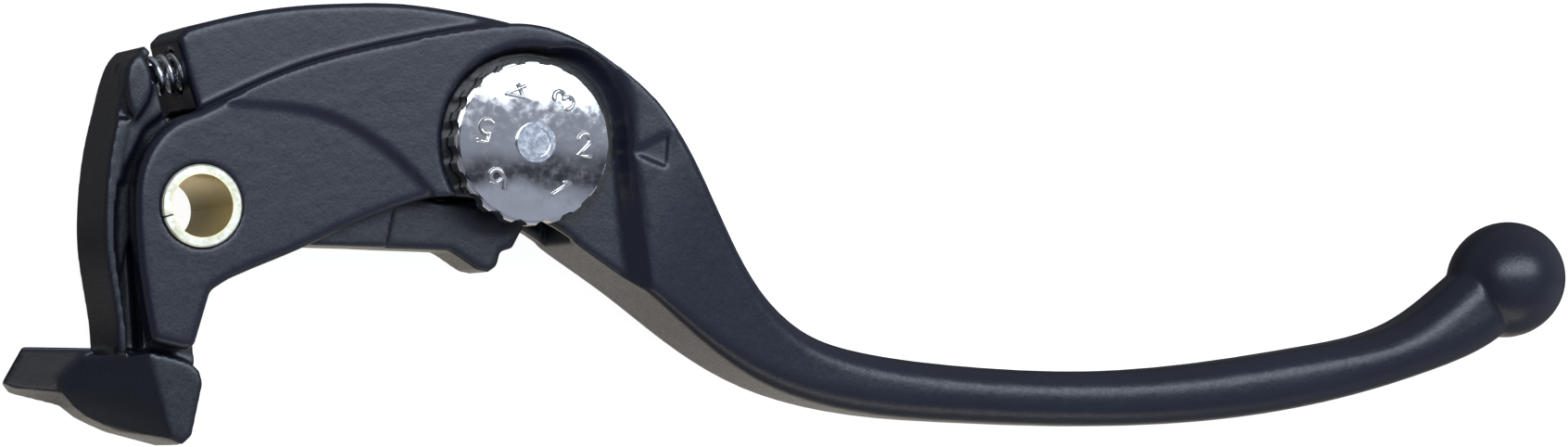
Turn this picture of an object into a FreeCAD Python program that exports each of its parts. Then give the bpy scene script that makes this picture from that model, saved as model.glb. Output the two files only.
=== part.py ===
import FreeCAD
import Part
import math
import os

# Motorcycle hand lever: a cast lever on a pivot bush, a separate knocker that pushes the piston,
# and a numbered dial whose cam sets the reach. Millimetres, +Z up (the dial side).
# Origin: on the pivot axis at the middle of the bush. +X points along the blade to the ball end.

V = FreeCAD.Vector
Z = V(0, 0, 1)

# Pivot
BUSH_R = 5.25
BORE_R = 4.0
BUSH_L = 18.7
BUSH_CHAMFER = 0.2
LEVER_EYE_R = 5.31
KNOCKER_EYE_R = 5.30

# Fork of the lever
EAR_TOP = 9.0
EAR_IN = 5.2
BAND_TOP = 10.0
WALL_TOP = 5.5
WALL_LOW = -8.2
SLOT_END_X = 51.0

# Knocker
WEB_Z = 4.8
RIM_LOW = -7.6
RIM_TOP = 6.2
HEAD_Z = 5.2
HEAD_LOW = 10.9
STEP_Z = 6.0
SHOULDER_Z = 4.8
PAD_TOP = 7.0
FOOT_LOW = -7.0
FOOT_TOP = 7.2
FOOT_HIGH = 4.0
PUSH_A = (-21.6, -22.3)
PUSH_B = (-19.0, -17.8)
PUSH_DIR = V(-4.5, 2.6, -1.215).normalize()

# Reach dial and its cam
DIAL_X = 43.9
DIAL_Y = 8.8
DIAL_R = 10.1
SKIRT_R = 10.65
SKIRT_TOP = 9.8
CROWN = 0.45
DIAL_Z0 = 7.4
DIAL_Z1 = 11.0
DIAL_STEP = 56.6
CLICKS_BELOW = 4
CLICKS_ABOVE = 1
CAM_R = 5.1
CAM_LIFT = 0.45
CAM_Z = 4.6
JOURNAL_R = 6.0
STEM_R = 2.0
POCKET_R = 12.0
POCKET_FLOOR = 7.0
NOSE_R = 1.2
NOSE_GAP = 0.08

# Detent
DETENT_R = 8.0
BALL_R = 1.2
BALL_BORE_R = 1.28
BALL_LIFT = 0.35
SCALLOPS = 20
SCALLOP_R = 1.5

# Return spring between knocker head and front wall
SPRING_TILT = 11.6
SPRING_X = -4.9
SPRING_Y = 16.55
SPRING_R = 2.15
SPRING_WIRE = 0.45
SPRING_L = 9.2
SPRING_GAP = 0.22

# Ball end of the blade
TIP_X = 191.8
TIP_Y = -6.8
TIP_R = 8.0
TIP_STRETCH = 1.06
TIP_ANGLE = 24.0


def vec(p, z=0.0):
    return V(p[0], p[1], z)


def curve(points, z=0.0):
    c = Part.BSplineCurve()
    c.interpolate([vec(p, z) for p in points])
    return c.toShape()


def lines(points, z=0.0):
    return [Part.makeLine(vec(a, z), vec(b, z)) for a, b in zip(points, points[1:])]


def prism(edges, z0, z1):
    face = Part.Face(Part.Wire(Part.__sortEdges__(edges)))
    solid = face.extrude(V(0, 0, z1 - z0))
    solid.translate(V(0, 0, z0))
    return solid


def block(points, z0, z1):
    return prism(lines(points + points[:1]), z0, z1)


def loft(low, high, z0, z1):
    a = Part.Wire(lines(low + low[:1], z0))
    b = Part.Wire(lines(high + high[:1], z1))
    return Part.makeLoft([a, b], True, True)


def rod(x, y, r, z0, z1):
    return Part.makeCylinder(r, z1 - z0, V(x, y, z0), Z)


def soften(solid, radius, pick):
    edges = [e for e in solid.Edges if pick(e)]
    try:
        result = solid.makeFillet(radius, edges)
        return result if result.isValid() else solid
    except Part.OCCError:
        return solid


def flat_at(edge, z):
    box = edge.BoundBox
    return abs(box.ZMin - z) < 1e-4 and abs(box.ZMax - z) < 1e-4


def upright_at(edge, points):
    box = edge.BoundBox
    if box.ZLength < 1.0 or box.XLength > 1e-3 or box.YLength > 1e-3:
        return False
    return any(math.hypot(box.XMin - p[0], box.YMin - p[1]) < 0.05 for p in points)


# Outline of the fork, seen from the dial side
TAIL_L = (-6.3, -17.1)
TAIL_R = (-0.9, -18.4)
NECK = (1.4, -10.7)
EAR_TIP = (-0.6, 11.9)
ROOT_HIGH = (64.3, 10.6)
ROOT_LOW = (53.5, -5.6)
EAR_LEFT = [TAIL_L, (-7.2, -12.5), (-8.1, -6.5), (-8.5, -1.0), (-8.1, 4.0), (-5.6, 8.9), EAR_TIP]
EAR_HIGH = [EAR_TIP, (6.0, 15.0), (13.6, 18.2), (22.3, 20.7), (32.2, 22.9), (38.8, 24.0),
            (44.8, 24.2), (50.7, 22.4), (56.4, 18.9), (61.3, 14.8), ROOT_HIGH]
EAR_LOW = [(3.8, -9.2), (7.8, -7.5), (12.7, -5.5), (19.9, -2.2), (26.1, 0.2), (31.0, 1.6),
           (36.5, 1.7), (42.0, 0.6), (48.0, -1.8), ROOT_LOW]
WALL_IN = [(0.6, 12.2), (10.0, 14.4), (20.0, 17.4), (30.0, 20.0), (40.0, 20.6), (SLOT_END_X, 16.2)]
WALL_OUT = [(-0.9, 22.7), (5.9, 24.6), (13.4, 25.9), (21.0, 26.5), (28.0, 26.6), (35.0, 25.9),
            (42.0, 24.7), (46.0, 23.7)]
CREASE = [(3.0, 13.3), (9.0, 13.0), (15.5, 12.1), (21.1, 9.8), (26.0, 6.4), (31.0, 1.6)]


def fork_edges():
    return [curve(EAR_LEFT), curve(EAR_HIGH)] + lines([ROOT_HIGH, ROOT_LOW]) + [curve(EAR_LOW)] + \
        lines([EAR_LOW[0], NECK]) + lines([NECK, TAIL_R]) + lines([TAIL_R, TAIL_L])


def fork():
    solid = prism(fork_edges(), -EAR_TOP, EAR_TOP)
    solid = soften(solid, 1.4, lambda e: upright_at(e, [TAIL_L, TAIL_R, NECK, EAR_LOW[0]]))
    joint = math.hypot(ROOT_HIGH[0] - ROOT_LOW[0], ROOT_HIGH[1] - ROOT_LOW[1])

    def rim(e):
        on_face = flat_at(e, EAR_TOP) or flat_at(e, -EAR_TOP)
        return on_face and abs(e.Length - joint) > 0.01
    return soften(solid, 1.1, rim)


def slot():
    edges = [curve(WALL_IN)]
    edges += lines([WALL_IN[-1], (SLOT_END_X, -20), (-25, -20), (-25, 12.2), WALL_IN[0]])
    return prism(edges, -EAR_IN, EAR_IN)


def front_wall():
    edges = [curve(WALL_OUT), curve(WALL_IN[:5])]
    edges += lines([WALL_IN[4], (46.0, 20.6), WALL_OUT[-1]])
    edges += lines([WALL_IN[0], (-1.1, 17.6), (-2.1, 21.4), WALL_OUT[0]])
    solid = prism(edges, WALL_LOW, WALL_TOP)
    low = [(-1.1, 17.6), (-0.7, 12.2), (2.0, 12.4), (1.0, 17.0)]
    high = [(-1.1, 17.6), (0.6, 12.2), (2.0, 12.4), (1.0, 17.0)]
    solid = solid.fuse(loft(low, high, WALL_LOW, WALL_TOP - 1.0))
    return soften(solid, 0.8, lambda e: flat_at(e, WALL_TOP) and e.BoundBox.YMax > 15.0)


def band():
    start = CREASE[0]
    high = [start, (8.0, 15.9), (13.6, 18.1), (22.3, 20.6), (32.2, 22.7), (38.8, 23.8),
            (44.8, 24.0), (50.6, 22.2), (56.3, 18.7), (61.1, 14.7), (64.1, 10.6)]
    edges = [curve(high), curve(CREASE), curve(EAR_LOW[5:])]
    edges += lines([high[-1], ROOT_LOW])
    solid = prism(edges, EAR_TOP - 1.0, BAND_TOP + 1.0)
    slope = Part.makeBox(90, 90, 10, V(0, -40, 0))
    slope.rotate(V(0, 0, 0), V(0, 1, 0), -0.8)
    slope.translate(V(0, 0, EAR_TOP + 0.2))
    return solid.cut(slope)


def blade_section(high, low, top, bottom, corner):
    a = vec(high)
    b = vec(low)
    mid = (a + b) * 0.5
    side = (a - b) * 0.5
    half = side.Length
    side.normalize()
    rise = (top - bottom) * 0.5
    lift = (top + bottom) * 0.5
    rs = min(corner, half * 0.92)
    rz = min(corner, rise * 0.92)
    k = 0.7071

    def at(s, h):
        return mid + side * s + V(0, 0, h + lift)
    edges = []
    spots = [(1, 1), (-1, 1), (-1, -1), (1, -1)]
    for i, (s, h) in enumerate(spots):
        s2, h2 = spots[(i + 1) % 4]
        cs = s * (half - rs)
        ch = h * (rise - rz)
        first = at(s * half, ch) if s == h else at(cs, h * rise)
        last = at(cs, h * rise) if s == h else at(s * half, ch)
        through = at(cs + s * rs * k, ch + h * rz * k)
        edges.append(Part.Arc(first, through, last).toShape())
        cs2 = s2 * (half - rs)
        ch2 = h2 * (rise - rz)
        nxt = at(s2 * half, ch2) if s2 == h2 else at(cs2, h2 * rise)
        edges.append(Part.makeLine(last, nxt))
    return Part.Wire(edges)


# Stations along the blade: upper edge, lower edge, top height, bottom height, corner radius
STATIONS = [
    ((61.0, 15.2), (51.0, -3.8), 9.97, -9.0, 1.1),
    ((64.8, 10.3), (54.6, -6.3), 10.0, -9.0, 1.2),
    ((68.1, 4.7), (59.8, -9.8), 9.7, -8.8, 1.3),
    ((71.9, -2.3), (64.8, -13.6), 9.0, -8.4, 1.5),
    ((76.8, -9.6), (71.1, -18.2), 8.2, -8.0, 2.0),
    ((83.1, -14.8), (78.9, -22.4), 7.4, -7.4, 2.6),
    ((92.3, -17.7), (90.4, -25.5), 6.8, -6.8, 3.2),
    ((107.0, -19.4), (106.5, -26.9), 6.3, -6.3, 3.4),
    ((125.0, -20.0), (125.0, -27.4), 6.0, -6.0, 3.4),
    ((144.0, -18.7), (145.4, -26.5), 5.8, -5.8, 3.5),
    ((161.0, -16.2), (164.0, -23.6), 5.7, -5.7, 3.6),
    ((174.6, -12.5), (179.0, -19.5), 5.6, -5.6, 3.8),
    ((182.1, -7.3), (187.4, -16.2), 5.4, -5.4, 4.0),
    ((187.8, -3.6), (192.2, -12.6), 4.6, -4.6, 3.6),
]


def blade():
    solid = Part.makeLoft([blade_section(*s) for s in STATIONS], True, False)
    stretch = FreeCAD.Matrix()
    stretch.scale(TIP_STRETCH, 1.0, 1.0)
    ball = Part.makeSphere(TIP_R).transformGeometry(stretch)
    ball.rotate(V(0, 0, 0), Z, TIP_ANGLE)
    ball.translate(V(TIP_X, TIP_Y, 0))
    return solid.fuse(ball)


# The recess round the dial ends in a soft slope: share of the slope's width, and height above the floor
RECESS_LOW = [(48.0, 20.0), (52.4, 17.6), (54.9, 13.6), (55.7, 8.0), (56.1, 1.9),
              (56.9, -5.0), (58.3, -14.0)]
RECESS_HIGH = [(48.0, 21.2), (54.4, 19.2), (57.4, 14.4), (58.0, 8.0), (58.8, 1.9),
               (59.9, -5.0), (61.9, -14.0)]
RECESS_SLOPE = [(0.0, 0.0), (0.25, 0.35), (0.5, 1.1), (0.75, 2.0), (1.0, 2.6), (1.45, 3.1), (2.2, 4.2)]


def recess_wire(share, rise):
    points = [(a[0] + (b[0] - a[0]) * share, a[1] + (b[1] - a[1]) * share)
              for a, b in zip(RECESS_LOW, RECESS_HIGH)]
    corner = [points[-1], (40.0, -14.0), (40.0, 20.0), points[0]]
    z = POCKET_FLOOR + rise
    return Part.Wire([curve(points, z)] + lines(corner, z))


def dial_recess():
    side = Part.makeLoft([recess_wire(*s) for s in RECESS_SLOPE], True, True)
    brink = Part.makeCone(POCKET_R, POCKET_R + 1.3, 1.3, V(DIAL_X, DIAL_Y, BAND_TOP - 1.1), Z)
    return side.fuse(rod(DIAL_X, DIAL_Y, POCKET_R, POCKET_FLOOR, POCKET_FLOOR + 6.0)).fuse(brink)


def pointer():
    return block([(57.1, 7.9), (62.8, 10.6), (62.5, 5.9)], BAND_TOP - 0.45, BAND_TOP + 2.0)


def spring_frame(shape):
    shape.rotate(V(0, 0, 0), Z, SPRING_TILT)
    shape.translate(V(SPRING_X, SPRING_Y, 0))
    return shape


def lever_body():
    solid = fork().fuse(front_wall()).fuse(band()).fuse(blade())
    solid = solid.cut(slot())
    solid = solid.cut(dial_recess()).cut(pointer())
    solid = solid.cut(rod(0, 0, LEVER_EYE_R, -20, 20))
    solid = solid.cut(rod(DIAL_X, DIAL_Y, JOURNAL_R + 0.05, 0, 20))
    solid = solid.cut(rod(DIAL_X, DIAL_Y, STEM_R + 0.05, -20, 0))
    solid = solid.cut(rod(DIAL_X + DETENT_R, DIAL_Y, BALL_BORE_R, 1.0, 12))
    well = Part.makeCylinder(SPRING_R + SPRING_WIRE + 0.3, 12, V(1.0, 0, 0), V(1, 0, 0))
    return solid.cut(spring_frame(well)).removeSplitter()


RIM_OUT = [(-6.5, 20.3), (-8.0, 18.5), (-9.2, 14.9), (-10.4, 10.2), (-11.2, 6.0), (-11.7, 1.0),
           (-11.8, -3.5), (-11.3, -8.0), (-10.4, -13.0), (-9.9, -18.4)]
RIM_IN = [(-5.6, 19.4), (-6.6, 17.6), (-7.7, 14.4), (-8.9, 9.8), (-9.7, 5.6), (-10.2, 1.0),
          (-10.4, -3.5), (-10.0, -8.0), (-9.2, -13.0), (-8.7, -18.4)]


def knocker_rim():
    edges = [curve(RIM_OUT), curve(RIM_IN)]
    edges += lines([RIM_OUT[0], RIM_IN[0]]) + lines([RIM_OUT[-1], RIM_IN[-1]])
    solid = prism(edges, RIM_LOW, RIM_TOP)
    return solid.cut(Part.makeBox(20, 20, 5, V(-20, HEAD_LOW, HEAD_Z)))


def knocker_head():
    outline = [(-6.7, 20.2), (-5.9, 18.2), (-5.6, 15.8), (-6.3, 13.4), (-7.7, 10.9), (-8.8, 10.4),
               (-9.8, 12.6), (-9.2, 15.4), (-8.2, 18.2)]
    pad = [(-8.4, 18.7), (-9.2, 17.4), (-9.4, 15.6), (-9.2, 13.6), (-8.8, 12.0), (-8.0, 10.8),
           (-7.3, 11.6), (-6.3, 13.2), (-5.8, 14.8), (-6.0, 16.8), (-6.7, 18.5), (-7.4, 19.4)]
    crown = soften(block(pad, 2.0, PAD_TOP), 0.5, lambda e: flat_at(e, PAD_TOP))
    return block(outline, -PAD_TOP, HEAD_Z).fuse(crown)


def knocker_web():
    hub = rod(0, 0, 8.6, -WEB_Z, WEB_Z)
    shoulder = block([(-10.3, -9.0), (-10.2, 3.0), (-9.4, 8.0), (-8.3, 11.5), (-6.6, 14.6),
                      (-5.0, 15.8), (-4.4, 13.6), (-3.9, 11.6), (-3.3, 10.6), (0.0, 6.0),
                      (-3.0, 0.0), (-7.5, -1.0), (-9.3, -9.0)],
                     -WEB_Z, SHOULDER_Z)
    step = block([(-10.1, 3.0), (-9.4, 8.0), (-8.3, 11.5), (-6.6, 14.6), (-5.0, 15.7), (-4.5, 13.6),
                  (-4.0, 11.7), (-6.5, 9.8), (-9.0, 4.6), (-9.3, 3.0)], 4.0, STEP_Z)
    step = soften(step, 0.35, lambda e: flat_at(e, STEP_Z))
    neck = block([(-10.6, 3.0), (-10.9, -4.0), (-9.2, -14.0), (-9.0, -20.0), (0.3, -20.0),
                  (-0.2, -13.0), (3.0, -6.0), (0.0, 3.0)], -WEB_Z, 1.5)
    spine = block([(-7.4, -5.0), (-6.4, -19.0), (0.4, -20.0), (0.0, -13.0), (3.0, -6.0)], 0.0, WEB_Z)
    return hub.fuse(shoulder).fuse(step).fuse(neck).fuse(spine)


def knocker_arm():
    thick = block([(3.0, 7.6), (14.0, 6.4), (27.5, 3.0), (26.0, -4.75), (15.0, -4.6),
                   (6.0, -6.4)], -WEB_Z, WEB_Z)
    thin = block([(24.0, 3.6), (34.0, 1.4), (44.6, 1.2), (45.9, -0.4), (44.8, -2.4), (43.6, -4.6),
                  (42.0, -5.0), (41.5, -6.9), (40.4, -7.7), (38.8, -7.4), (36.8, -6.1),
                  (35.0, -5.0), (24.0, -4.75)], -WEB_Z, 3.4)
    thin = soften(thin, 0.5, lambda e: flat_at(e, 3.4))
    top = DIAL_Y - CAM_R - NOSE_GAP - NOSE_R
    post = block([(DIAL_X - 2.6, 1.0), (DIAL_X + 2.0, 1.0), (DIAL_X + NOSE_R, top),
                  (DIAL_X - NOSE_R, top)], -4.2, 3.4)
    return thick.fuse(thin).fuse(post).fuse(rod(DIAL_X, top, NOSE_R, -4.2, 3.4))


def knocker_foot():
    base = [(-15.6, -19.0), (-16.0, -21.5), (-15.6, -23.3), (-13.8, -25.4), (-12.2, -26.6),
            (-10.3, -27.5), (-8.2, -28.4), (-1.2, -30.2), (-0.2, -29.0), (0.9, -22.3),
            (0.5, -20.8), (-0.9, -19.4), (-5.0, -18.2), (-9.9, -18.0)]
    face = [(-6.2, -18.9), (-5.5, -21.0), (-4.9, -22.8), (-4.4, -24.8), (-4.0, -26.4),
            (-3.7, -27.8), (-3.3, -29.2), (-1.9, -30.1), (-0.6, -28.9), (0.8, -22.3),
            (0.4, -20.8), (-0.8, -19.7), (-3.5, -18.9), (-5.9, -18.4)]
    body = block(base, FOOT_LOW, 0.0).fuse(loft(base, face, 0.0, FOOT_TOP))
    lean = 0.27 * (FOOT_HIGH - FOOT_LOW)
    sole = [PUSH_A, PUSH_B, (-12.0, -17.8), (-12.0, -26.0), (-14.5, -25.1), (-20.6, -23.6)]
    crest = [(PUSH_A[0] - lean, PUSH_A[1]), (PUSH_B[0] - lean, PUSH_B[1]), (-12.0, -17.9),
             (-12.0, -21.8), (-14.5, -22.0), (-22.3, -22.4)]
    toe = loft(sole, crest, FOOT_LOW, FOOT_HIGH)
    toe = toe.cut(Part.makeCylinder(30, 10, vec(PUSH_A, FOOT_LOW) - PUSH_DIR * 0.1, PUSH_DIR))
    lid = Part.makeBox(60, 60, 20, V(-30, -30, 0))
    lid.rotate(V(0, 0, 0), V(1, 0, 0), 31.0)
    lid.translate(V(0, -23.2, -1.0))
    return body.fuse(toe.cut(lid))


def knocker():
    boss = spring_frame(Part.makeCylinder(2.5, 3.6, V(-3.6, 0, 0), V(1, 0, 0)))
    spigot = spring_frame(Part.makeCylinder(1.45, 1.6, V(-0.2, 0, 0), V(1, 0, 0)))
    solid = knocker_rim().fuse(knocker_head()).fuse(knocker_web()).fuse(knocker_arm())
    solid = solid.fuse(knocker_foot()).fuse(boss).fuse(spigot)
    return solid.cut(rod(0, 0, KNOCKER_EYE_R, -20, 20)).removeSplitter()


def pivot_bush():
    solid = rod(0, 0, BUSH_R, -BUSH_L / 2, BUSH_L / 2).cut(rod(0, 0, BORE_R, -20, 20))
    ends = [e for e in solid.Edges if flat_at(e, BUSH_L / 2) or flat_at(e, -BUSH_L / 2)]
    return solid.makeChamfer(BUSH_CHAMFER, [e for e in ends if e.Curve.Radius > 4.5])


def coil(radius, wire, pitch, height):
    path = Part.makeHelix(pitch, height, radius)
    ring = Part.Wire(Part.makeCircle(wire, V(radius, 0, 0), V(0, 1, 0)))
    return Part.Wire(path).makePipeShell([ring], True, True)


def return_spring():
    pitch = 1.45
    solid = coil(SPRING_R, SPRING_WIRE, pitch, SPRING_L - 2 * SPRING_WIRE)
    solid.rotate(V(0, 0, 0), V(0, 1, 0), 90)
    solid.translate(V(SPRING_WIRE + SPRING_GAP, 0, 0))
    return spring_frame(solid)


def detent_spring():
    solid = coil(0.8, 0.2, 0.75, 3.6)
    solid.translate(V(DIAL_X + DETENT_R, DIAL_Y, 1.22))
    return solid


def detent_ball():
    return Part.makeSphere(BALL_R, V(DIAL_X + DETENT_R, DIAL_Y, DIAL_Z0 - BALL_R - 0.02))


# Strokes of the dial's numbers, in a cell one unit wide and 1.5 high
def arc_points(cx, cy, rx, ry, a0, a1, n=7):
    span = [math.radians(a0 + (a1 - a0) * i / (n - 1)) for i in range(n)]
    return [(cx + rx * math.cos(t), cy + ry * math.sin(t)) for t in span]


def digit_strokes(n):
    if n == 1:
        return [[(0.3, 1.2), (0.55, 1.5), (0.55, 0.0)]]
    if n == 2:
        return [arc_points(0.5, 1.06, 0.44, 0.44, 170, -30) + [(0.06, 0.0), (0.95, 0.0)]]
    if n == 3:
        return [arc_points(0.45, 1.13, 0.4, 0.37, 150, -80), arc_points(0.45, 0.38, 0.46, 0.38, 80, -150)]
    if n == 4:
        return [[(0.68, 0.0), (0.68, 1.5), (0.02, 0.42), (1.0, 0.42)]]
    if n == 5:
        return [[(0.9, 1.5), (0.2, 1.5), (0.12, 0.82)], arc_points(0.45, 0.48, 0.48, 0.48, 130, -140)]
    return [arc_points(0.5, 0.44, 0.44, 0.44, 0, 360, 11), [(0.07, 0.55), (0.25, 1.1), (0.72, 1.5)]]


def raised_number(n, height, z0, z1, width):
    pieces = []
    for stroke in digit_strokes(n):
        pts = [((x - 0.5) * height / 1.5, (y - 0.75) * height / 1.5) for x, y in stroke]
        for p in pts:
            pieces.append(rod(p[0], p[1], width / 2, z0, z1))
        for a, b in zip(pts, pts[1:]):
            d = V(b[0] - a[0], b[1] - a[1], 0)
            bar = Part.makeBox(d.Length, width, z1 - z0, V(0, -width / 2, z0))
            bar.rotate(V(0, 0, 0), Z, math.degrees(math.atan2(d.y, d.x)))
            bar.translate(vec(a))
            pieces.append(bar)
    return pieces[0].multiFuse(pieces[1:])


def dial_blank():
    skirt = rod(0, 0, SKIRT_R, DIAL_Z0, SKIRT_TOP)
    skirt = soften(skirt, 0.4, lambda e: flat_at(e, SKIRT_TOP))
    reach = SKIRT_R - 0.55 + SCALLOP_R
    for i in range(SCALLOPS):
        a = math.radians(360.0 * (i + 0.5) / SCALLOPS)
        skirt = skirt.cut(rod(reach * math.cos(a), reach * math.sin(a), SCALLOP_R, 0, 20))
    ball_r = (DIAL_R ** 2 + CROWN ** 2) / (2 * CROWN)
    crown = Part.makeSphere(ball_r, V(0, 0, DIAL_Z1 - ball_r))
    return skirt.fuse(crown.common(rod(0, 0, DIAL_R, DIAL_Z0, DIAL_Z1 + 1.0)))


def adjuster_dial():
    solid = dial_blank()
    for i in range(CLICKS_BELOW + CLICKS_ABOVE + 1):
        a = math.radians((i - CLICKS_ABOVE) * DIAL_STEP)
        dimple = Part.makeSphere(BALL_R + 0.03, V(DETENT_R * math.cos(a), DETENT_R * math.sin(a),
                                                  DIAL_Z0 - BALL_R - 0.02 + BALL_LIFT))
        solid = solid.cut(dimple)
        figure = raised_number(i + 1, 2.7, DIAL_Z1 - 0.6, DIAL_Z1 + 0.1, 0.42)
        figure.translate(V(6.85, 0, 0))
        figure.rotate(V(0, 0, 0), Z, math.degrees(a) - 1.6)
        solid = solid.fuse(figure)
    solid = solid.cut(rod(0, 0, 2.3, 0, 20))
    solid.translate(V(DIAL_X, DIAL_Y, 0))
    return solid


def cam_profile(steps=28):
    first = -90.0 - CLICKS_ABOVE * DIAL_STEP
    last = -90.0 + CLICKS_BELOW * DIAL_STEP
    points = []
    for i in range(steps + 1):
        a = first - 8 + (last - first + 16) * i / steps
        r = CAM_R - CAM_LIFT * (a + 90.0) / DIAL_STEP
        points.append((r * math.cos(math.radians(a)), r * math.sin(math.radians(a))))
    return points


def adjuster_spindle():
    points = cam_profile()
    cam = prism([curve(points)] + lines([points[-1], points[0]]), -CAM_Z, CAM_Z)
    solid = cam.fuse(rod(0, 0, JOURNAL_R, CAM_Z, POCKET_FLOOR))
    solid = solid.fuse(rod(0, 0, 2.25, POCKET_FLOOR - 0.2, DIAL_Z1 + 0.1))
    head = rod(0, 0, 2.6, DIAL_Z1 + 0.02, DIAL_Z1 + 0.45)
    head = head.cut(rod(0, 0, 1.95, DIAL_Z1 + 0.2, DIAL_Z1 + 1.0))
    solid = solid.fuse(head).fuse(rod(0, 0, STEM_R, -11.2, -CAM_Z + 0.2))
    groove = rod(0, 0, 3.0, -10.45, -9.75).cut(rod(0, 0, 1.5, -12.0, -8.0))
    solid = solid.cut(groove)
    solid.translate(V(DIAL_X, DIAL_Y, 0))
    return solid


def spindle_washer():
    solid = rod(0, 0, 4.0, -9.6, -9.08).cut(rod(0, 0, STEM_R + 0.08, -12, 0))
    solid.translate(V(DIAL_X, DIAL_Y, 0))
    return solid


def spindle_clip():
    solid = rod(0, 0, 3.4, -10.4, -9.8).cut(rod(0, 0, 1.56, -12, 0))
    mouth = Part.makeBox(6, 2.5, 4, V(0, -1.25, -12))
    solid = solid.cut(mouth)
    for a in (110.0, 250.0):
        x = 2.5 * math.cos(math.radians(a))
        y = 2.5 * math.sin(math.radians(a))
        solid = solid.cut(rod(x, y, 0.5, -12, 0))
    solid.translate(V(DIAL_X, DIAL_Y, 0))
    return solid


NODES = {
    "lever_body": lever_body,
    "knocker": knocker,
    "pivot_bush": pivot_bush,
    "return_spring": return_spring,
    "adjuster_dial": adjuster_dial,
    "adjuster_spindle": adjuster_spindle,
    "detent_ball": detent_ball,
    "detent_spring": detent_spring,
    "spindle_washer": spindle_washer,
    "spindle_clip": spindle_clip,
}

os.makedirs("parts", exist_ok=True)
for name, make in NODES.items():
    shape = make()
    print(name, shape.ShapeType, len(shape.Solids), shape.isValid(), round(shape.Volume, 1))
    shape.exportStep("parts/" + name + ".step")
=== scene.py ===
import bpy
import math
from mathutils import Vector, Matrix


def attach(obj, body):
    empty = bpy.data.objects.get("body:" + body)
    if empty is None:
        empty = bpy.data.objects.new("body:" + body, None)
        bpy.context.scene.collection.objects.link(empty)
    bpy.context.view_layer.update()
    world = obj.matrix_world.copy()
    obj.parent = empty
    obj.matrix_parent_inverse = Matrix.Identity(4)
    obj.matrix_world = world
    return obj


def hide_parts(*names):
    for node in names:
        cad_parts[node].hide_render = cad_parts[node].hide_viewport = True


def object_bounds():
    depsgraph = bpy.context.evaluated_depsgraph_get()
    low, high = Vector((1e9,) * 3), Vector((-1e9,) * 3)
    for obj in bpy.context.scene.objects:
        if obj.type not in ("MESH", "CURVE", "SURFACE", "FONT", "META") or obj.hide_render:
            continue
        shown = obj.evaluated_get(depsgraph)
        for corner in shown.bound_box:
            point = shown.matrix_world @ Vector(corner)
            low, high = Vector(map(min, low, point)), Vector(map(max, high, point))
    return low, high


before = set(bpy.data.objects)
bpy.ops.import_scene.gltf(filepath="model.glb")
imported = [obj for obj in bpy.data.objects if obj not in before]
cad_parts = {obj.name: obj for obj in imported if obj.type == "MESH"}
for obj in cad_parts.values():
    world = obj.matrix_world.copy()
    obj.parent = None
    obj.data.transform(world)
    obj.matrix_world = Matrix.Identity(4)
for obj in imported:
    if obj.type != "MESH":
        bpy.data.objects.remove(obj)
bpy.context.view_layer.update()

scene = bpy.context.scene
MM = 0.001

# Sizes shared with the castings and the dial, in metres and degrees.
DIAL_AXIS = Vector((43.9, 8.8)) * MM
BORE_EDGE = 4.02 * MM
BORE_BLEND = 0.2 * MM
SEAM_AT = -163.0
POCKET_R = 12.0 * MM
POCKET_TOP = 9.4 * MM
CROWN_TOP = 11.0 * MM
CROWN_R = 113.6 * MM
CLICK = 56.6
DIAL_REST = -1.6


# ---------------------------------------------------------------- shader nodes

def put(tree, socket, value):
    """Links a node's output to an input, or sets the input to a plain value."""
    if isinstance(value, bpy.types.NodeSocket):
        tree.links.new(value, socket)
    else:
        socket.default_value = value


def maths(tree, operation, *values):
    n = tree.nodes.new("ShaderNodeMath")
    n.operation = operation
    for socket, value in zip(n.inputs, values):
        put(tree, socket, value)
    return n.outputs["Value"]


def vector_maths(tree, operation, *values):
    n = tree.nodes.new("ShaderNodeVectorMath")
    n.operation = operation
    for socket, value in zip(n.inputs, values):
        put(tree, socket, value)
    gives_number = operation in ("DOT_PRODUCT", "LENGTH")
    return n.outputs["Value" if gives_number else "Vector"]


def split(tree, vector):
    n = tree.nodes.new("ShaderNodeSeparateXYZ")
    tree.links.new(vector, n.inputs["Vector"])
    return n.outputs["X"], n.outputs["Y"], n.outputs["Z"]


def from_axis(tree, x, y):
    """Distance from the Z axis."""
    n = tree.nodes.new("ShaderNodeCombineXYZ")
    tree.links.new(x, n.inputs["X"])
    tree.links.new(y, n.inputs["Y"])
    return vector_maths(tree, "LENGTH", n.outputs["Vector"])


def map_range(tree, source, low, high, to_low=0.0, to_high=1.0):
    n = tree.nodes.new("ShaderNodeMapRange")
    n.inputs["From Min"].default_value = low
    n.inputs["From Max"].default_value = high
    n.inputs["To Min"].default_value = to_low
    n.inputs["To Max"].default_value = to_high
    tree.links.new(source, n.inputs["Value"])
    return n.outputs["Result"]


def noise(tree, where, scale, detail, roughness):
    n = tree.nodes.new("ShaderNodeTexNoise")
    n.inputs["Scale"].default_value = scale
    n.inputs["Detail"].default_value = detail
    n.inputs["Roughness"].default_value = roughness
    tree.links.new(where, n.inputs["Vector"])
    return n.outputs["Fac"]


def ramp(tree, source, stops):
    n = tree.nodes.new("ShaderNodeValToRGB")
    elements = n.color_ramp.elements
    while len(elements) < len(stops):
        elements.new(0.5)
    for element, (position, color) in zip(elements, stops):
        element.position = position
        element.color = (*color, 1.0)
    tree.links.new(source, n.inputs["Fac"])
    return n.outputs["Color"]


def bump(tree, height, strength, distance, before=None):
    n = tree.nodes.new("ShaderNodeBump")
    n.inputs["Strength"].default_value = strength
    n.inputs["Distance"].default_value = distance
    tree.links.new(height, n.inputs["Height"])
    if before is not None:
        tree.links.new(before, n.inputs["Normal"])
    return n.outputs["Normal"]


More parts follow.
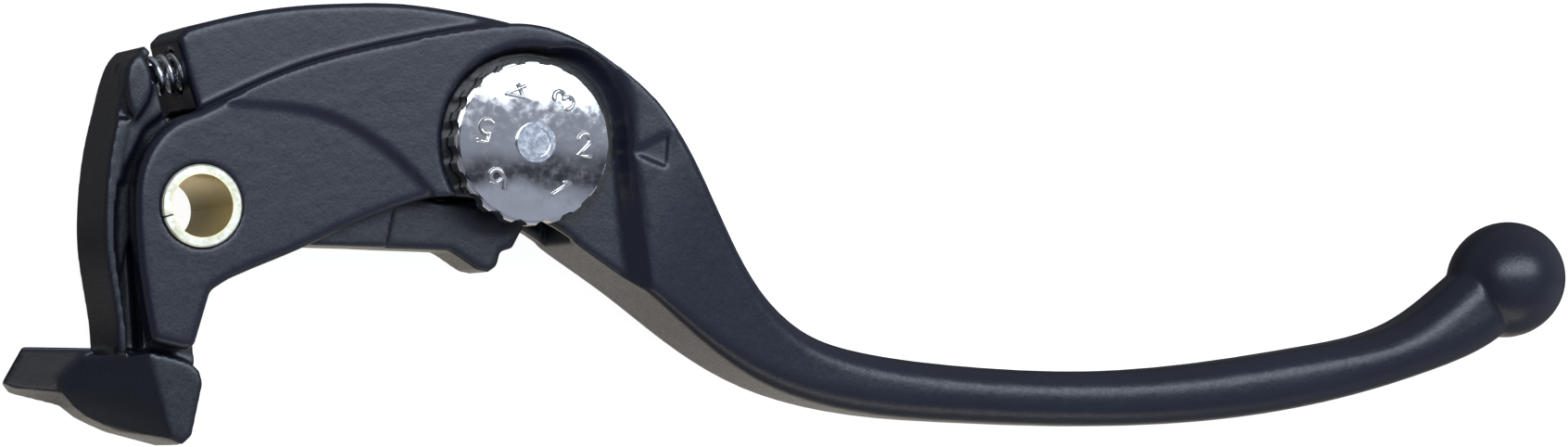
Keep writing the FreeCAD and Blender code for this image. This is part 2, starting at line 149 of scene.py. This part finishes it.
class Finish:
    """A material with one shader, placed by the object's own coordinates."""

    def __init__(self, name):
        self.material = bpy.data.materials.new(name)
        self.material.use_nodes = True
        self.tree = self.material.node_tree
        self.tree.nodes.clear()
        out = self.tree.nodes.new("ShaderNodeOutputMaterial")
        self.shader = self.tree.nodes.new("ShaderNodeBsdfPrincipled")
        self.tree.links.new(self.shader.outputs["BSDF"], out.inputs["Surface"])
        self.where = self.tree.nodes.new("ShaderNodeTexCoord").outputs["Object"]

    def set(self, name, value):
        put(self.tree, self.shader.inputs[name], value)

    def recolour(self, keep, color):
        """Shows a plain colour where keep is 0, and the colour that was there where it is 1."""
        n = self.tree.nodes.new("ShaderNodeMix")
        n.data_type = "RGBA"
        n.inputs["A"].default_value = (*color, 1.0)
        self.tree.links.new(keep, n.inputs["Factor"])
        before = self.shader.inputs["Base Color"].links[0].from_socket
        self.tree.links.new(before, n.inputs["B"])
        self.set("Base Color", n.outputs["Result"])


# ---------------------------------------------------------------- materials

def satin_paint(name, dark, light, rough):
    """Satin paint over a casting, with faint patches, a fine grain and a little orange peel."""
    f = Finish(name)
    patch = noise(f.tree, f.where, scale=55.0, detail=4.0, roughness=0.55)
    grain = noise(f.tree, f.where, scale=2600.0, detail=2.0, roughness=0.6)
    peel = noise(f.tree, f.where, scale=420.0, detail=2.0, roughness=0.5)
    f.set("Base Color", ramp(f.tree, patch, [(0.30, dark), (0.72, light)]))
    f.set("Roughness", map_range(f.tree, grain, 0.3, 0.7, rough - 0.05, rough + 0.07))
    f.set("Specular IOR Level", 0.5)
    grained = bump(f.tree, grain, strength=0.25, distance=0.06 * MM)
    f.set("Normal", bump(f.tree, peel, strength=0.35, distance=0.12 * MM, before=grained))
    return f


def metal(name, dark, light, rough, grain_scale, mottle_scale, grain_mm, wave_mm=0.0, metallic=1.0):
    """Bare or plated metal, mottled and grained, with slow waves where wave_mm isn't 0."""
    f = Finish(name)
    f.set("Metallic", metallic)
    mottle = noise(f.tree, f.where, mottle_scale, detail=5.0, roughness=0.6)
    grain = noise(f.tree, f.where, grain_scale, detail=3.0, roughness=0.6)
    f.set("Base Color", ramp(f.tree, mottle, [(0.32, dark), (0.68, light)]))
    f.set("Roughness", map_range(f.tree, grain, 0.3, 0.7, max(rough - 0.06, 0.02), rough + 0.08))
    surface = bump(f.tree, grain, strength=0.5, distance=grain_mm * MM)
    if wave_mm:
        wave = noise(f.tree, f.where, scale=130.0, detail=1.0, roughness=0.4)
        surface = bump(f.tree, wave, strength=1.0, distance=wave_mm * MM, before=surface)
    f.set("Normal", surface)
    return f


def brown_bore_and_seam(f):
    """A browner bore, and the fine seam where the rolled bush meets, by angle round the pivot axis."""
    x, y, _ = split(f.tree, f.where)
    outside = map_range(f.tree, from_axis(f.tree, x, y), BORE_EDGE, BORE_EDGE + BORE_BLEND)
    f.recolour(outside, (0.84, 0.72, 0.38))
    angle = maths(f.tree, "ARCTAN2", y, x)
    off_seam = maths(f.tree, "SUBTRACT", angle, math.radians(SEAM_AT))
    beside = map_range(f.tree, maths(f.tree, "ABSOLUTE", off_seam), 0.016, 0.034)
    f.recolour(beside, (0.03, 0.027, 0.02))


def paint_pocket_shade(f):
    """Painted shade: much darker paint in the well round the dial, standing in for the shade that falls
    in it.
    """
    centred = vector_maths(f.tree, "SUBTRACT", f.where, (DIAL_AXIS.x, DIAL_AXIS.y, 0.0))
    x, y, z = split(f.tree, centred)
    outside = map_range(f.tree, from_axis(f.tree, x, y), POCKET_R, POCKET_R + 0.6 * MM)
    above = map_range(f.tree, z, POCKET_TOP - 0.8 * MM, POCKET_TOP)
    # near-black painted shade inside the well, below its rim
    f.recolour(maths(f.tree, "MAXIMUM", outside, above), (0.002, 0.002, 0.002))


PAINT = satin_paint("satin_black_cast", (0.0045, 0.0062, 0.0140), (0.0070, 0.0092, 0.0190), rough=0.32)
KNOCK = satin_paint("satin_black_knocker", (0.0045, 0.0058, 0.0105), (0.0070, 0.0085, 0.0145), rough=0.32)
CHROME = metal("polished_chrome", (0.56, 0.55, 0.53), (0.65, 0.64, 0.62), rough=0.06,
               grain_scale=900.0, mottle_scale=160.0, grain_mm=0.002, wave_mm=0.10)
ZINC = metal("yellow_zinc", (0.58, 0.54, 0.36), (0.88, 0.88, 0.76), rough=0.36,
             grain_scale=1500.0, mottle_scale=900.0, grain_mm=0.03, metallic=0.72)
STEEL = metal("bright_steel", (0.56, 0.58, 0.60), (0.74, 0.76, 0.78), rough=0.26,
              grain_scale=1800.0, mottle_scale=500.0, grain_mm=0.01)
PLATED = metal("plated_spindle", (0.66, 0.69, 0.72), (0.78, 0.80, 0.83), rough=0.16,
               grain_scale=1400.0, mottle_scale=300.0, grain_mm=0.006)
brown_bore_and_seam(ZINC)
# painted shade in the well round the dial
paint_pocket_shade(PAINT)


def cover(mesh, finish):
    """Gives a mesh one material and no other."""
    mesh.materials.clear()
    mesh.materials.append(finish.material)


NODE_FINISH = {
    "pivot_bush": ZINC,
    "return_spring": STEEL,
    "adjuster_dial": CHROME,
    "adjuster_spindle": PLATED,
    "detent_ball": STEEL,
    "detent_spring": STEEL,
    "spindle_washer": STEEL,
    "spindle_clip": STEEL,
}

for node, finish in NODE_FINISH.items():
    cover(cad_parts[node].data, finish)


# ---------------------------------------------------------------- castings

SKIN_VOXEL = 0.00032
SKIN_ROUNDS = 6


def evaluated_mesh(o):
    """The object's mesh with its modifiers or its curve's roundness applied."""
    depsgraph = bpy.context.evaluated_depsgraph_get()
    return bpy.data.meshes.new_from_object(o.evaluated_get(depsgraph))


def smooth_shade(mesh):
    for p in mesh.polygons:
        p.use_smooth = True


def cast_copy(node, body, finish):
    """A copy of a CAD casting with its edges softened all over, as on a die casting."""
    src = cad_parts[node]
    o = bpy.data.objects.new(node + "_cast", src.data.copy())
    scene.collection.objects.link(o)
    o.matrix_world = src.matrix_world.copy()
    skin = o.modifiers.new("cast_skin", "REMESH")
    skin.mode = "VOXEL"
    skin.voxel_size = SKIN_VOXEL
    skin.use_smooth_shade = True
    soft = o.modifiers.new("cast_soft", "SMOOTH")
    soft.factor = 0.5
    soft.iterations = SKIN_ROUNDS
    mesh = evaluated_mesh(o)
    o.modifiers.clear()
    o.data = mesh
    cover(mesh, finish)
    smooth_shade(mesh)
    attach(o, body)
    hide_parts(node)


cast_copy("lever_body", "lever", PAINT)
cast_copy("knocker", "knocker", KNOCK)

# ---------------------------------------------------------------- numbers on the dial

NUMBER_AT = 6.85 * MM
NUMBER_HIGH = 2.9 * MM
NUMBER_RAISED = 0.06 * MM
STROKE_R = 0.30 * MM
GLYPH_HIGH = 1.5
GLYPH_MIDDLE = (0.5, 0.75)


def bow(x, y, half_wide, half_high, start, end, count=9):
    """Points along an elliptical arc, from one angle to another in degrees."""
    angles = [math.radians(start + (end - start) * i / (count - 1)) for i in range(count)]
    return [(x + half_wide * math.cos(a), y + half_high * math.sin(a)) for a in angles]


# The strokes of the numbers 1 to 6, drawn up to 1 wide and GLYPH_HIGH high.
STROKES = [
    [[(0.3, 1.2), (0.55, 1.5), (0.55, 0.0)]],
    [bow(0.5, 1.06, 0.44, 0.44, 170, -30) + [(0.06, 0.0), (0.95, 0.0)]],
    [bow(0.45, 1.13, 0.4, 0.37, 150, -80), bow(0.45, 0.38, 0.46, 0.38, 80, -150)],
    [[(0.68, 0.0), (0.68, 1.5), (0.02, 0.42), (1.0, 0.42)]],
    [[(0.9, 1.5), (0.2, 1.5), (0.12, 0.82)], bow(0.45, 0.48, 0.48, 0.48, 130, -140)],
    [bow(0.5, 0.44, 0.44, 0.44, 0, 360, 13), [(0.07, 0.55), (0.25, 1.1), (0.72, 1.5)]],
]


def number_curve(i, strokes):
    """One raised number, as rounded strokes that follow the crowned face."""
    data = bpy.data.curves.new("number", "CURVE")
    data.dimensions = "3D"
    data.bevel_depth = STROKE_R
    data.bevel_resolution = 3
    data.use_fill_caps = True
    turn = Matrix.Rotation(math.radians((i - 1) * CLICK + DIAL_REST), 2)
    middle_x, middle_y = GLYPH_MIDDLE
    for stroke in strokes:
        line = data.splines.new("POLY")
        line.points.add(len(stroke) - 1)
        for spot, (x, y) in zip(line.points, stroke):
            flat = Vector((NUMBER_AT + (x - middle_x) * NUMBER_HIGH / GLYPH_HIGH,
                           (y - middle_y) * NUMBER_HIGH / GLYPH_HIGH))
            z = CROWN_TOP - flat.length_squared / (2 * CROWN_R) + NUMBER_RAISED
            flat = turn @ flat + DIAL_AXIS
            spot.co = (flat.x, flat.y, z, 1.0)
    return data


def mesh_piece(name, curve, body, finish):
    """Turns a curve into a smooth mesh piece that rides on a body."""
    line = bpy.data.objects.new(name + "_line", curve)
    scene.collection.objects.link(line)
    mesh = evaluated_mesh(line)
    bpy.data.objects.remove(line)
    cover(mesh, finish)
    smooth_shade(mesh)
    o = bpy.data.objects.new(name, mesh)
    scene.collection.objects.link(o)
    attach(o, body)


for i, strokes in enumerate(STROKES):
    mesh_piece("dial_number_%d" % (i + 1), number_curve(i, strokes), "dial", CHROME)

# ---------------------------------------------------------------- stage

FLOOR_SIZE = 4.0
FLOOR_BELOW = 0.4 * MM
FLOOR_GLOW = 0.92


def pale_paper():
    """Pale paper that is lit mostly by its own glow, which keeps it near white."""
    f = Finish("pale_paper")
    patch = noise(f.tree, f.where, scale=40.0, detail=3.0, roughness=0.5)
    f.set("Base Color", ramp(f.tree, patch, [(0.3, (0.34, 0.34, 0.34)), (0.7, (0.37, 0.37, 0.37))]))
    f.set("Roughness", 0.9)
    f.set("Specular IOR Level", 0.0)
    f.set("Emission Color", (1.0, 1.0, 1.0, 1.0))
    f.set("Emission Strength", FLOOR_GLOW)
    return f


low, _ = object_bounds()
bpy.ops.mesh.primitive_plane_add(size=FLOOR_SIZE, location=(0.09, 0.0, low[2] - FLOOR_BELOW))
floor = bpy.context.object
floor.name = "pale_floor"
# The world below stands in for what the floor would throw onto the object.
floor.visible_diffuse = False
floor.visible_glossy = False
cover(floor.data, pale_paper())

# ---------------------------------------------------------------- world

WORLD_STRENGTH = 0.85


def from_minus_one(tree, source):
    """Brings a number between -1 and 1 to between 0 and 1."""
    return maths(tree, "MULTIPLY_ADD", source, 0.5, 0.5)


def grey_stops(levels, tint=(1.0, 1.0, 1.0)):
    """Colour stops, from pairs of a position and a brightness."""
    return [(position, [level * t for t in tint]) for position, level in levels]


def soft_studio():
    """Soft light that differs by direction, for the chrome to reflect."""
    world = bpy.data.worlds.new("soft_studio")
    world.use_nodes = True
    tree = world.node_tree
    background = tree.nodes["Background"]
    way = tree.nodes.new("ShaderNodeTexCoord").outputs["Generated"]
    _, y, z = split(tree, way)

    # cool and bright overhead, towards the ball end
    upward = vector_maths(tree, "DOT_PRODUCT", way, (0.42, 0.10, 0.90))
    sky = ramp(tree, upward, [(0.0, (0.12, 0.12, 0.125)), (0.98, (0.43, 0.48, 0.61))])

    # a dark gap across the sky, as between two soft boxes, which the chrome shows as a band
    levels = [(0.468, 1.25), (0.485, 0.15), (0.499, 0.15), (0.520, 1.0)]
    gap = ramp(tree, from_minus_one(tree, y), grey_stops(levels))
    light = vector_maths(tree, "MULTIPLY", sky, gap)

    # a warm patch low on the grip side, as from the table beside the lever
    downward = vector_maths(tree, "DOT_PRODUCT", way, (0.25, -0.36, -0.90))
    warm = ramp(tree, downward, [(0.86, (0.0, 0.0, 0.0)), (0.96, (0.62, 0.56, 0.48))])
    light = vector_maths(tree, "ADD", light, warm)

    # pale studio walls near the horizon, which light the sides
    levels = [(0.16, 0.0), (0.34, 0.24), (0.62, 0.24), (0.78, 0.0)]
    walls = ramp(tree, from_minus_one(tree, z), grey_stops(levels, tint=(0.88, 0.96, 1.12)))
    light = vector_maths(tree, "ADD", light, walls)

    tree.links.new(light, background.inputs["Color"])
    background.inputs["Strength"].default_value = WORLD_STRENGTH
    return world


def area(name, at, aim, size, power, color):
    """A rectangular soft light that points from one place to another."""
    light = bpy.data.lights.new(name, "AREA")
    light.shape = "RECTANGLE"
    light.size, light.size_y = size
    light.energy = power
    light.color = color
    o = bpy.data.objects.new(name, light)
    scene.collection.objects.link(o)
    o.location = Vector(at)
    o.rotation_euler = (Vector(aim) - Vector(at)).to_track_quat("-Z", "Y").to_euler()


scene.world = soft_studio()
area("key_top", at=(0.18, 0.30, 0.72), aim=(0.18, 0.11, 0.0), size=(1.0, 0.34), power=6.0,
     color=(0.80, 0.89, 1.0))
area("fill_low", at=(0.10, -0.75, 0.22), aim=(0.08, 0.0, 0.0), size=(0.9, 0.3), power=1.0,
     color=(1.0, 0.93, 0.82))

# ---------------------------------------------------------------- camera

CAMERA_LEFT = math.radians(22.28)
CAMERA_LOW = math.radians(2.33)
CAMERA_AWAY = 0.7862
CAMERA_AIM = Vector((0.08292, -0.00063, 0.0))
CAMERA_LENS = 136.06


def photo_camera():
    """The camera of the photograph: to the left of square on the dial face, and a little low."""
    back = Vector((-math.sin(CAMERA_LEFT) * math.cos(CAMERA_LOW),
                   -math.sin(CAMERA_LOW),
                   math.cos(CAMERA_LEFT) * math.cos(CAMERA_LOW)))
    right = Vector((0, 1, 0)).cross(back).normalized()
    up = back.cross(right)
    data = bpy.data.cameras.new("camera")
    data.sensor_width = 36.0
    data.lens = CAMERA_LENS
    data.clip_start = 0.01
    camera = bpy.data.objects.new("camera", data)
    scene.collection.objects.link(camera)
    turn = Matrix((right, up, back)).transposed().to_4x4()
    camera.matrix_world = Matrix.Translation(CAMERA_AIM + back * CAMERA_AWAY) @ turn
    return camera


scene.camera = photo_camera()
scene.view_settings.view_transform = "Standard"
scene.view_settings.look = "None"
